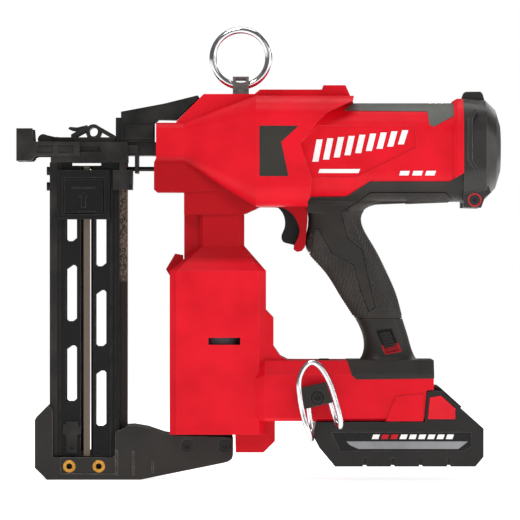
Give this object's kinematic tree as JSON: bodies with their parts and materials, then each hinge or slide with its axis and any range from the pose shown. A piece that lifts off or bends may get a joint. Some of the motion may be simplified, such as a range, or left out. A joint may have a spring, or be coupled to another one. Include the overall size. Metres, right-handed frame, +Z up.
{
  "type": "cordless fencing stapler",
  "caption": "Cordless fencing stapler: barrel with a nose and sliding work contact, upright staple magazine, motor column, pistol grip, slide-on battery, hanging ring and belt hook",
  "frame": {"origin": "middle of the flat underside of the magazine shoe, on the split plane of the clamshell", "axes": "+X from the nose to the rear cap along the drive axis, +Z up along the magazine, +Y to the tool's right side"},
  "size_m": [0.3368, 0.1033, 0.3162],
  "materials": {
    "housing_left": "fine moulded satin",
    "housing_right": "fine moulded satin",
    "handle_left": "fine moulded matte",
    "handle_right": "fine moulded matte",
    "grip_left": "textured overmould",
    "grip_right": "textured overmould",
    "rear_cap": "satin moulded",
    "cap_screws": "black oxide with a red collar",
    "top_inlay": "grey overmould",
    "side_inlays": "dark overmould",
    "badges": "white print",
    "hang_strap": "grey phosphate",
    "hang_ring": "polished",
    "trigger": "moulded",
    "trigger_switch": "moulded",
    "lock_frame": "moulded",
    "lock_switch": "ribbed",
    "control_panel": "moulded",
    "mode_button": "moulded",
    "belt_hook": "bright wire",
    "hook_clamp": "moulded",
    "socket_screws": "black oxide",
    "housing_screws": "black oxide",
    "nose_body": "black coated steel",
    "nose_door": "black coated steel",
    "latch_lever": "black coated steel",
    "work_contact": "black coated steel",
    "contact_link": "black coated steel",
    "magazine_latch": "black coated steel",
    "tongue": "black coated steel",
    "contact_spring": "spring wire",
    "depth_wheel": "knurled",
    "top_shield": "moulded",
    "front_strip": "anodised",
    "magazine_walls": "extruded",
    "magazine_rails": "warm grey wear strips",
    "pusher": "moulded",
    "pusher_spring": "coiled strip",
    "load_catch": "pressed",
    "magazine_shoe": "moulded",
    "brass_inserts": "turned",
    "battery_case": "moulded",
    "battery_cells": "sleeved cells",
    "release_left": "moulded",
    "release_right": "moulded",
    "controller": "potted board",
    "stator": "laminated",
    "rotor": "ground",
    "bearings": "ground",
    "ring_gear": "cut gear steel",
    "carrier": "cut gear steel",
    "planet_a": "cut gear steel",
    "planet_b": "cut gear steel",
    "planet_c": "cut gear steel",
    "lifter_wheel": "cut gear steel",
    "drive_frame": "cast",
    "driver_blade": "ground",
    "pressure_tank": "drawn",
    "cylinder": "honed",
    "bumper": "moulded"
  },
  "bodies": {
    "tool": {"housing_left": "housing_left", "housing_right": "housing_right", "handle_left": "handle_left", "handle_right": "handle_right", "grip_left": "grip_left", "grip_right": "grip_right", "rear_cap": "rear_cap", "cap_screws": "cap_screws", "top_inlay": "top_inlay", "side_inlays": "side_inlays", "badges": "badges", "hang_strap": "hang_strap", "trigger_switch": "trigger_switch", "lock_frame": "lock_frame", "control_panel": "control_panel", "belt_hook": "belt_hook", "hook_clamp": "hook_clamp", "socket_screws": "socket_screws", "housing_screws": "housing_screws", "nose_body": "nose_body", "magazine_latch": "magazine_latch", "tongue": "tongue", "contact_spring": "contact_spring", "top_shield": "top_shield", "front_strip": "front_strip", "magazine_walls": "magazine_walls", "magazine_rails": "magazine_rails", "load_catch": "load_catch", "magazine_shoe": "magazine_shoe", "brass_inserts": "brass_inserts", "controller": "controller", "stator": "stator", "bearings": "bearings", "ring_gear": "ring_gear", "drive_frame": "drive_frame", "pressure_tank": "pressure_tank", "cylinder": "cylinder", "bumper": "bumper"},
    "trigger": {"trigger": "trigger"},
    "lock_switch": {"lock_switch": "lock_switch"},
    "mode_button": {"mode_button": "mode_button"},
    "hang_ring": {"hang_ring": "hang_ring"},
    "nose_door": {"nose_door": "nose_door"},
    "latch_lever": {"latch_lever": "latch_lever"},
    "work_contact": {"work_contact": "work_contact", "contact_link": "contact_link"},
    "depth_wheel": {"depth_wheel": "depth_wheel"},
    "pusher": {"pusher": "pusher", "pusher_spring": "pusher_spring"},
    "battery": {"battery_case": "battery_case", "battery_cells": "battery_cells"},
    "release_left": {"release_left": "release_left"},
    "release_right": {"release_right": "release_right"},
    "driver": {"driver_blade": "driver_blade"},
    "lifter": {"lifter_wheel": "lifter_wheel"},
    "carrier": {"carrier": "carrier"},
    "planet_a": {"planet_a": "planet_a"},
    "planet_b": {"planet_b": "planet_b"},
    "planet_c": {"planet_c": "planet_c"},
    "rotor": {"rotor": "rotor"}
  },
  "joints": [
    {"name": "trigger_pull", "type": "hinge", "parent": "tool", "child": "trigger", "pos_m": [0.137, 0, 0.1946], "axis": [0, -1, 0], "range_deg": [0, 8], "stiffness_Nm_per_rad": 0.4, "springref_deg": -5.73},
    {"name": "contact_press", "type": "slide", "parent": "tool", "child": "work_contact", "axis": [1, 0, 0], "range_m": [0, 0.007], "stiffness_N_per_m": 400, "springref_m": -0.012, "deforming": ["contact_spring"]},
    {"name": "depth_turn", "type": "hinge", "parent": "work_contact", "child": "depth_wheel", "pos_m": [0.021, 0, 0.2167], "axis": [1, 0, 0], "range_deg": [-180, 180]},
    {"name": "door_open", "type": "hinge", "parent": "tool", "child": "nose_door", "pos_m": [-0.0354, 0, 0.237], "axis": [0, -1, 0], "range_deg": [0, 70]},
    {"name": "latch_lift", "type": "hinge", "parent": "nose_door", "child": "latch_lever", "pos_m": [-0.0004, 0, 0.2424], "axis": [0, 1, 0], "range_deg": [0, 75], "stiffness_Nm_per_rad": 0.02, "springref_deg": -17.19},
    {"name": "pusher_travel", "type": "slide", "parent": "tool", "child": "pusher", "axis": [0, 0, -1], "range_m": [0, 0.13], "stiffness_N_per_m": 60, "springref_m": -0.15},
    {"name": "battery_off", "type": "slide", "parent": "tool", "child": "battery", "axis": [1, 0, 0], "range_m": [0, 0.1]},
    {"name": "release_left_press", "type": "slide", "parent": "battery", "child": "release_left", "axis": [0, 1, 0], "range_m": [0, 0.002], "stiffness_N_per_m": 300, "springref_m": -0.003},
    {"name": "release_right_press", "type": "slide", "parent": "battery", "child": "release_right", "axis": [0, -1, 0], "range_m": [0, 0.002], "stiffness_N_per_m": 300, "springref_m": -0.003},
    {"name": "lock_slide", "type": "slide", "parent": "tool", "child": "lock_switch", "axis": [0.3709, 0, -0.9287], "range_m": [0, 0.0025]},
    {"name": "mode_press", "type": "slide", "parent": "tool", "child": "mode_button", "axis": [0, 0, -1], "range_m": [0, 0.0008], "stiffness_N_per_m": 300, "springref_m": -0.001},
    {"name": "ring_tilt", "type": "hinge", "parent": "tool", "child": "hang_ring", "pos_m": [0.1024, 0, 0.2747], "axis": [1, 0, 0], "range_deg": [-80, 80]},
    {"name": "lifter_turn", "type": "hinge", "parent": "tool", "child": "lifter", "pos_m": [0.106, 0.0186, 0.22], "axis": [0, 0, 1], "range_deg": [-315, 0]},
    {"name": "driver_stroke", "type": "slide", "parent": "tool", "child": "driver", "axis": [1, 0, 0], "range_m": [-0.066, 0]},
    {"name": "carrier_turn", "type": "hinge", "parent": "tool", "child": "carrier", "pos_m": [0.08925, 0, 0.182], "axis": [0, 0, 1], "range_deg": [-1, 402]},
    {"name": "rotor_turn", "type": "hinge", "parent": "tool", "child": "rotor", "pos_m": [0.08925, 0, 0.1], "axis": [0, 0, 1], "range_deg": [-1, 1806]},
    {"name": "planet_a_turn", "type": "hinge", "parent": "carrier", "child": "planet_a", "pos_m": [0.09667, 0, 0.173], "axis": [0, 0, 1], "range_deg": [-1124, 1]},
    {"name": "planet_b_turn", "type": "hinge", "parent": "carrier", "child": "planet_b", "pos_m": [0.08554, 0.00643, 0.173], "axis": [0, 0, 1], "range_deg": [-1124, 1]},
    {"name": "planet_c_turn", "type": "hinge", "parent": "carrier", "child": "planet_c", "pos_m": [0.08554, -0.00643, 0.173], "axis": [0, 0, 1], "range_deg": [-1124, 1]}
  ],
  "couplings": [
    {"joint": "driver_stroke", "follows": "lifter_turn", "m_per_rad": 0.012},
    {"joint": "carrier_turn", "follows": "lifter_turn", "ratio": -1.2727},
    {"joint": "rotor_turn", "follows": "lifter_turn", "ratio": -5.7273},
    {"joint": "planet_a_turn", "follows": "lifter_turn", "ratio": 3.5636},
    {"joint": "planet_b_turn", "follows": "lifter_turn", "ratio": 3.5636},
    {"joint": "planet_c_turn", "follows": "lifter_turn", "ratio": 3.5636}
  ]
}
